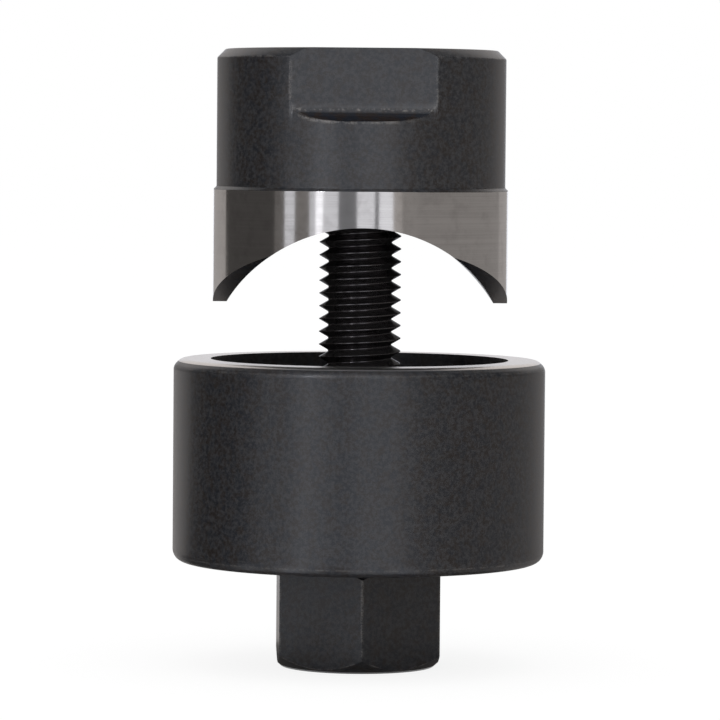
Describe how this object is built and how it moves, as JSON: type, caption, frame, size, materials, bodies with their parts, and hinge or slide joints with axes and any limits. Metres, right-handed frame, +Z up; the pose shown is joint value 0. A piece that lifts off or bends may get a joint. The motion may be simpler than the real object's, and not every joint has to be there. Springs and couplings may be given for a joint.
{
  "type": "knockout punch",
  "caption": "Knockout punch for sheet metal: a cup die and a punch with cutting points on a hexagon-head draw screw.",
  "frame": {"origin": "middle of the hexagon head's end face, which the tool stands on", "axes": "+Z up the draw screw, +X towards a cutting point, the wrench flats face -Y and +Y"},
  "size_m": [0.0436, 0.0436, 0.0724],
  "materials": {
    "die_steel": "black oxide, satin, with a ground bright cutting rim",
    "screw_steel": "black oxide, oiled on the thread",
    "punch_steel": "black oxide, satin, with a ground bright cutting band"
  },
  "bodies": {
    "die": {"die": "die_steel"},
    "screw": {"draw_screw": "screw_steel"},
    "punch": {"punch": "punch_steel"}
  },
  "joints": [
    {"name": "screw_spin", "type": "hinge", "parent": "die", "child": "screw", "pos_m": [0, 0, 0], "axis": [0, 0, 1], "range_deg": [-3602, 5403]},
    {"name": "punch_travel", "type": "slide", "parent": "die", "child": "punch", "axis": [0, 0, 1], "range_m": [-0.0225, 0.015]}
  ],
  "couplings": [
    {"joint": "screw_spin", "follows": "punch_travel", "rad_per_m": -4188.8}
  ]
}
